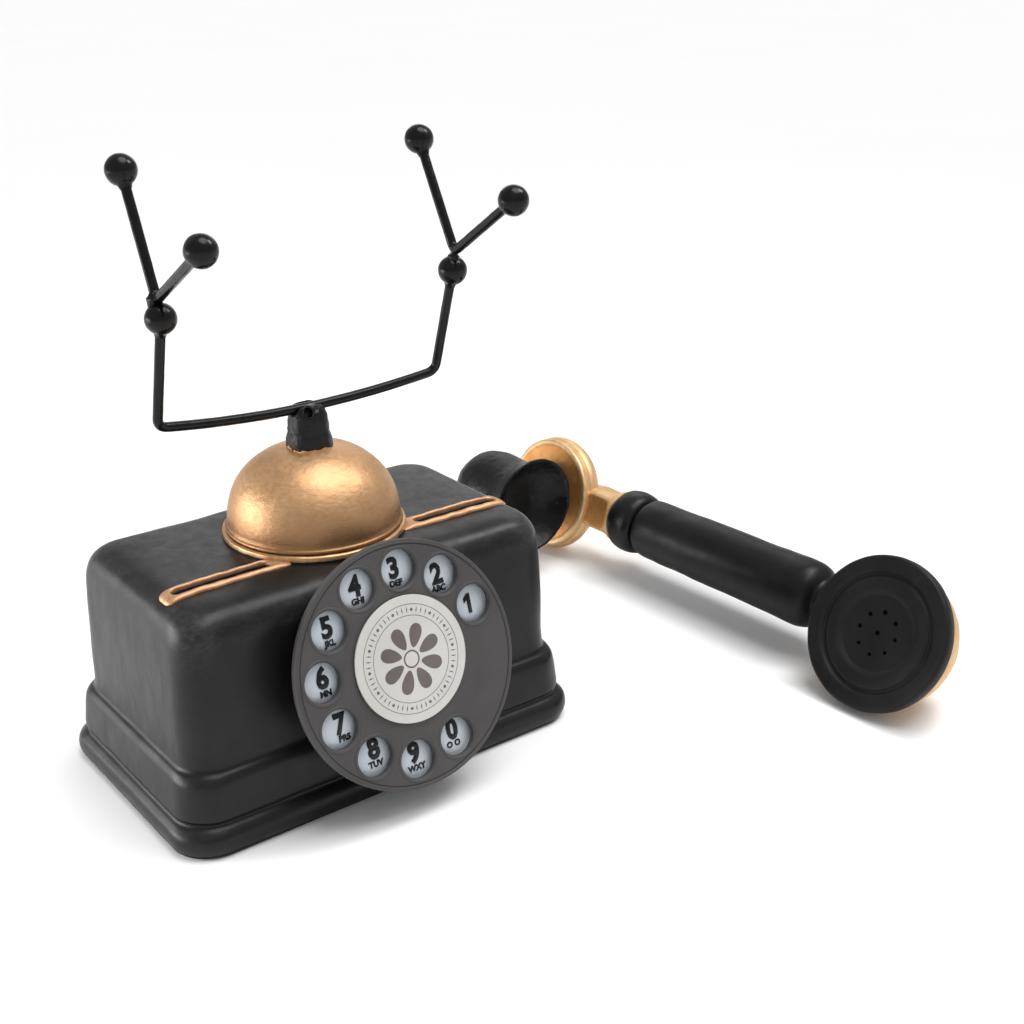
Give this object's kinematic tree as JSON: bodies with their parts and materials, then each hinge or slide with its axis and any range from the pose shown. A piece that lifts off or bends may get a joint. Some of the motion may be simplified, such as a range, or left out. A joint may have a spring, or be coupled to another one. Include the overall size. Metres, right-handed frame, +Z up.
{
  "type": "decorative cradle telephone coin bank",
  "caption": "Antique-style desk telephone ornament: black housing with coin slots, copper gong, tilting wire cradle, rotary dial and a loose handset with a horn mouthpiece.",
  "frame": {"origin": "middle of the housing's base, on the surface it stands on", "axes": "+Z up, the dial faces -Y, +X to the right as seen from the dial, where the handset lies"},
  "size_m": [0.2744, 0.2396, 0.2075],
  "materials": {
    "black_paint": "satin black paint on cast resin",
    "black_enamel": "glossy black enamel",
    "copper_paint": "brushed copper paint on cast resin",
    "gold_paint": "brushed yellow gold paint on cast resin",
    "wheel_grey": "warm dark grey, matte",
    "plate_silver": "blue-grey silver",
    "label_silver": "off-white silver",
    "steel": "zinc plated",
    "brass": "plain brass",
    "fibreboard": "brown fibreboard",
    "felt": "black felt",
    "rubber": "black rubber"
  },
  "bodies": {
    "base": {"housing": "black_paint", "cradle_post": "black_paint", "dial_case": "black_paint", "cradle_keeper": "black_enamel", "gong": "copper_paint", "gong_ring": "copper_paint", "slot_trim_left": "copper_paint", "slot_trim_right": "copper_paint", "number_plate": "plate_silver", "base_screw_1": "steel", "base_screw_2": "steel", "base_screw_3": "steel", "base_screw_4": "steel", "gong_stud": "steel", "gong_washer": "steel", "gong_nut": "steel", "dial_bush": "brass", "base_plate": "fibreboard", "base_pad": "felt"},
    "dial": {"finger_wheel": "wheel_grey", "dial_label": "label_silver", "dial_spindle": "steel", "dial_washer": "steel", "dial_nut": "steel"},
    "cradle": {"cradle_crossbar": "black_enamel", "cradle_joint_ball_left": "black_enamel", "cradle_joint_ball_right": "black_enamel", "cradle_fork_left": "black_enamel", "cradle_fork_right": "black_enamel", "cradle_tip_ball_left_front": "black_enamel", "cradle_tip_ball_left_back": "black_enamel", "cradle_tip_ball_right_front": "black_enamel", "cradle_tip_ball_right_back": "black_enamel"},
    "coin_plug": {"coin_plug": "rubber"},
    "handset": {"handset_grip": "black_paint", "handset_bead": "black_paint", "handset_tie_rod": "steel", "ear_cup": "gold_paint", "ear_cap": "black_paint", "handset_neck": "gold_paint", "transmitter_cup": "gold_paint", "mouthpiece_horn": "black_paint"}
  },
  "joints": [
    {"name": "dial_turn", "type": "hinge", "parent": "base", "child": "dial", "pos_m": [0, -0.0553, 0.0493], "axis": [0, -0.9553, 0.2957], "continuous": true},
    {"name": "cradle_tilt", "type": "hinge", "parent": "base", "child": "cradle", "pos_m": [0, 0, 0.1217], "axis": [0.999, -0.0454, 0], "range_deg": [-35, 20]},
    {"name": "coin_plug_pull", "type": "slide", "parent": "base", "child": "coin_plug", "axis": [0, 0, -1], "range_m": [0, 0.012]},
    {"name": "handset_lift", "type": "slide", "parent": "base", "child": "handset", "axis": [0, 0, 1], "range_m": [0, 0.2]}
  ]
}
